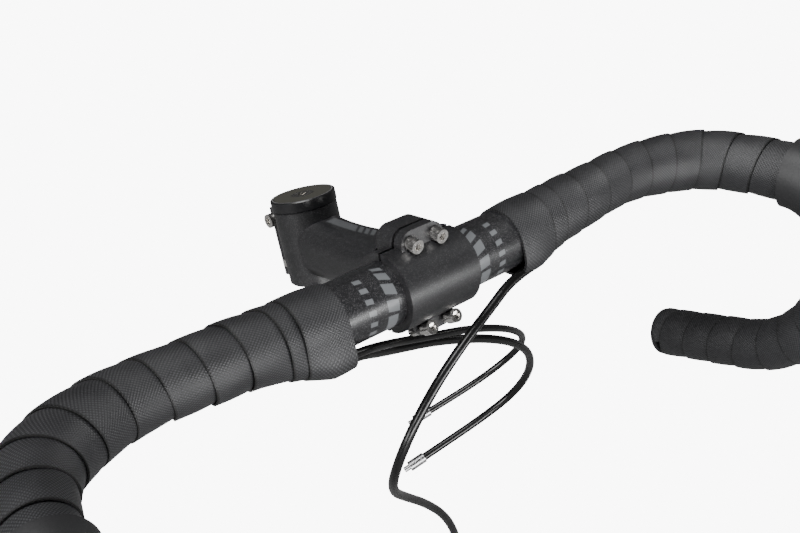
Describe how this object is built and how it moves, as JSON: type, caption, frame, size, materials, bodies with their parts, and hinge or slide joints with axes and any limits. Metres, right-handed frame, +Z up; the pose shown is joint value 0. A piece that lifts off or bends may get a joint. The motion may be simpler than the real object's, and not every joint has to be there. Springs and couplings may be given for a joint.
{
  "type": "drop handlebar cockpit",
  "caption": "Drop handlebar in its stem, taped, with brake levers in rubber hoods, a shift paddle and free cable casings running to the frame.",
  "frame": {"origin": "on the fork steerer's axis, half way up the stem's lower clamp band", "axes": "+Z up with the bicycle upright, -Y forwards, +X towards the rider's left, along the handlebar"},
  "size_m": [0.479, 0.3095, 0.3798],
  "materials": {
    "stem_black": "satin",
    "bar_black": "satin, fine metallic speck",
    "cap_olive": "matte",
    "polished_steel": "polished",
    "tape": "soft woven",
    "hood_rubber": "smooth matte",
    "bracket_plastic": "matte",
    "lever_black": "satin",
    "paddle_black": "satin",
    "plug_plastic": "matte",
    "casing": "gloss",
    "ferrule_alloy": "satin"
  },
  "bodies": {
    "stem": {"stem_body": "stem_black", "faceplate": "stem_black", "faceplate_bolts": "polished_steel", "steerer_clamp_bolts": "polished_steel", "top_cap": "cap_olive", "top_cap_bolt": "polished_steel"},
    "handlebar": {"handlebar_tube": "bar_black", "bar_tape_left": "tape", "bar_tape_right": "tape", "front_brake_casing": "casing", "rear_shift_casing": "casing", "rear_brake_casing": "casing", "front_brake_ferrule": "ferrule_alloy", "rear_shift_ferrule": "ferrule_alloy", "rear_brake_ferrule": "ferrule_alloy", "end_plug_left": "plug_plastic", "lever_bracket_left": "bracket_plastic", "bracket_band_left": "polished_steel", "band_bolt_left": "polished_steel", "hood_left": "hood_rubber", "lever_pivot_left": "polished_steel", "end_plug_right": "plug_plastic", "lever_bracket_right": "bracket_plastic", "bracket_band_right": "polished_steel", "band_bolt_right": "polished_steel", "hood_right": "hood_rubber", "lever_pivot_right": "polished_steel"},
    "brake_lever_left": {"brake_lever_left": "lever_black"},
    "brake_lever_right": {"brake_lever_right": "lever_black", "paddle_pin_right": "polished_steel"},
    "shift_paddle_right": {"shift_paddle_right": "paddle_black"}
  },
  "joints": [
    {"name": "bar_roll", "type": "hinge", "parent": "stem", "child": "handlebar", "pos_m": [0, -0.08402, 0.03108], "axis": [1, 0, 0], "range_deg": [-6, 6]},
    {"name": "left_brake", "type": "hinge", "parent": "handlebar", "child": "brake_lever_left", "pos_m": [0.2195, -0.25402, 0.03808], "axis": [1, 0, 0], "range_deg": [0, 20], "stiffness_Nm_per_rad": 0.6, "springref_deg": -17.19},
    {"name": "right_brake", "type": "hinge", "parent": "handlebar", "child": "brake_lever_right", "pos_m": [-0.2195, -0.25402, 0.03808], "axis": [1, 0, 0], "range_deg": [0, 20], "stiffness_Nm_per_rad": 0.6, "springref_deg": -17.19},
    {"name": "right_shift", "type": "hinge", "parent": "brake_lever_right", "child": "shift_paddle_right", "pos_m": [-0.2195, -0.25962, -0.00842], "axis": [0, -0.2936, -0.9559], "range_deg": [0, 22], "stiffness_Nm_per_rad": 0.08, "springref_deg": -17.19}
  ]
}
